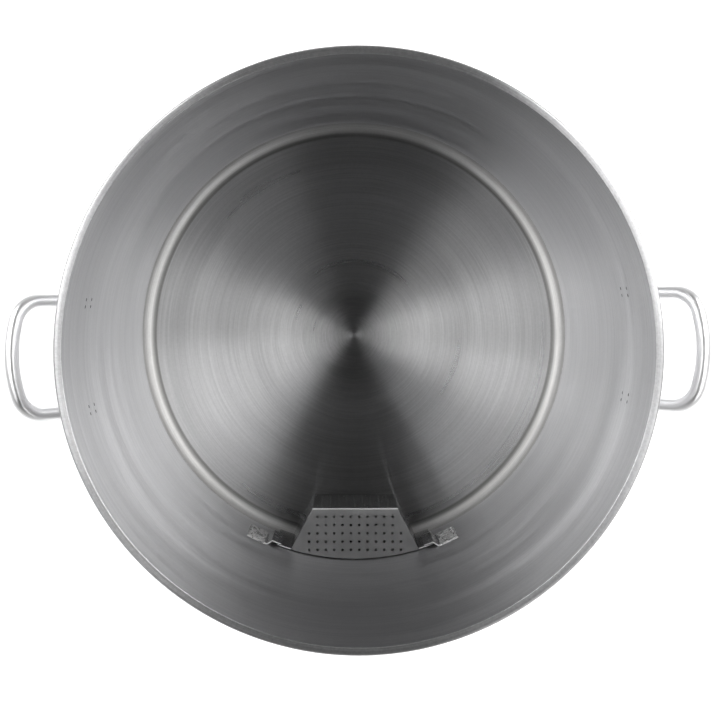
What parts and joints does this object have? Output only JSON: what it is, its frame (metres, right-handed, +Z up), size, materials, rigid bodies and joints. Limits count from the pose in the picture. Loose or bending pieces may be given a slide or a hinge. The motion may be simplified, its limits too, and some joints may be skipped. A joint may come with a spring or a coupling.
{
  "type": "brew kettle",
  "caption": "Tall round stainless brew kettle with two rod handles, a lift-out perforated strainer in wall rails and a ball-valve tap with a hose tail.",
  "frame": {"origin": "centre of the underside of the base, on the surface the kettle stands on", "axes": "+Z up along the pot's axis; -Y towards the tap and the strainer; +X and -X towards the handles"},
  "size_m": [0.6246, 0.6183, 0.5085],
  "materials": {
    "wall_steel": "circumferentially brushed stainless sheet",
    "floor_steel": "concentrically brushed stainless sheet",
    "cap_steel": "satin stainless sheet",
    "handle_steel": "polished stainless rod",
    "fitting_steel": "machined stainless",
    "cast_steel": "bead-blasted stainless casting",
    "sheet_steel": "satin perforated stainless sheet",
    "rail_steel": "bright stainless strip",
    "lever_steel": "pressed stainless strip",
    "weld_steel": "bare stainless weld metal",
    "polished_steel": "mirror-polished stainless",
    "core_aluminium": "satin aluminium plate",
    "gasket_silicone": "matt silicone rubber",
    "seat_plastic": "smooth white fluoropolymer",
    "grip_vinyl": "dipped soft vinyl"
  },
  "bodies": {
    "kettle": {"kettle_wall": "wall_steel", "bottom_pan": "floor_steel", "seam_weld": "weld_steel", "base_core": "core_aluminium", "base_cap": "cap_steel", "handle_left": "handle_steel", "handle_right": "handle_steel", "feet_left": "fitting_steel", "feet_right": "fitting_steel", "handle_welds": "weld_steel", "spot_welds": "weld_steel", "guide_rail_left": "rail_steel", "guide_rail_right": "rail_steel", "rail_welds": "weld_steel", "nipple": "fitting_steel", "lock_nut_inner": "fitting_steel", "gasket_inner": "gasket_silicone", "gasket_outer": "gasket_silicone", "washer_outer": "fitting_steel", "lock_nut_outer": "fitting_steel", "valve_body": "cast_steel", "valve_end_cap": "cast_steel", "ball_seat_inner": "seat_plastic", "ball_seat_outer": "seat_plastic", "stem_seal": "seat_plastic", "packing_nut": "fitting_steel", "hose_tail": "fitting_steel"},
    "strainer_basket": {"strainer": "sheet_steel"},
    "valve_lever": {"ball": "polished_steel", "stem": "polished_steel", "lever": "lever_steel", "lever_sleeve": "grip_vinyl", "lever_nut": "fitting_steel"}
  },
  "joints": [
    {"name": "strainer_lift", "type": "slide", "parent": "kettle", "child": "strainer_basket", "axis": [0, 0, 1], "range_m": [0, 0.51]},
    {"name": "valve_turn", "type": "hinge", "parent": "kettle", "child": "valve_lever", "pos_m": [0, -0.295, 0.05], "axis": [0, 0, -1], "range_deg": [0, 90]}
  ]
}
